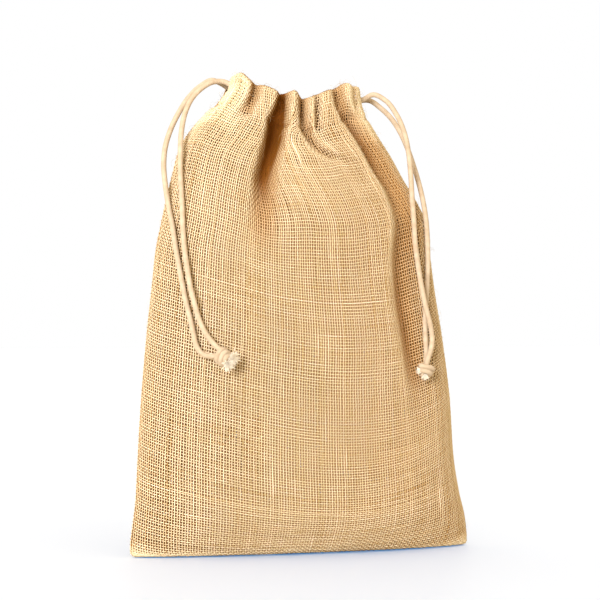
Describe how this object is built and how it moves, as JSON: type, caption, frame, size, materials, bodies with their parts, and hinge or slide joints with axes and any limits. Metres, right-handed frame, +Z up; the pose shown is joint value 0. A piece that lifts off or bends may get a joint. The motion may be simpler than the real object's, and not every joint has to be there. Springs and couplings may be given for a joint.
{
  "type": "small burlap drawstring pouch",
  "caption": "Small jute burlap pouch, standing filled, gathered at its mouth by two cotton drawcords that run through the hem and end in knots at the sides.",
  "frame": {"origin": "centre of the pouch's footprint on the surface it stands on", "axes": "+Z up, -Y out of the face with the deep pleat, +X to the right of someone looking at that face"},
  "size_m": [0.2004, 0.0717, 0.2722],
  "materials": {
    "jute": "coarse plain weave of natural jute yarn, uneven and slightly hairy, matte",
    "cotton": "soft round cotton cord, natural ecru, matte",
    "frayed_cotton": "frayed cut ends of the cotton cord, almost white, matte"
  },
  "bodies": {
    "root": {"pouch": "jute", "left_cord_in_hem": "cotton", "left_cord_front": "cotton", "left_cord_back": "cotton", "right_cord_in_hem": "cotton", "right_cord_front": "cotton", "right_cord_back": "cotton", "left_knot": "cotton", "right_knot": "cotton", "left_frayed_ends": "frayed_cotton", "right_frayed_ends": "frayed_cotton"}
  },
  "joints": []
}
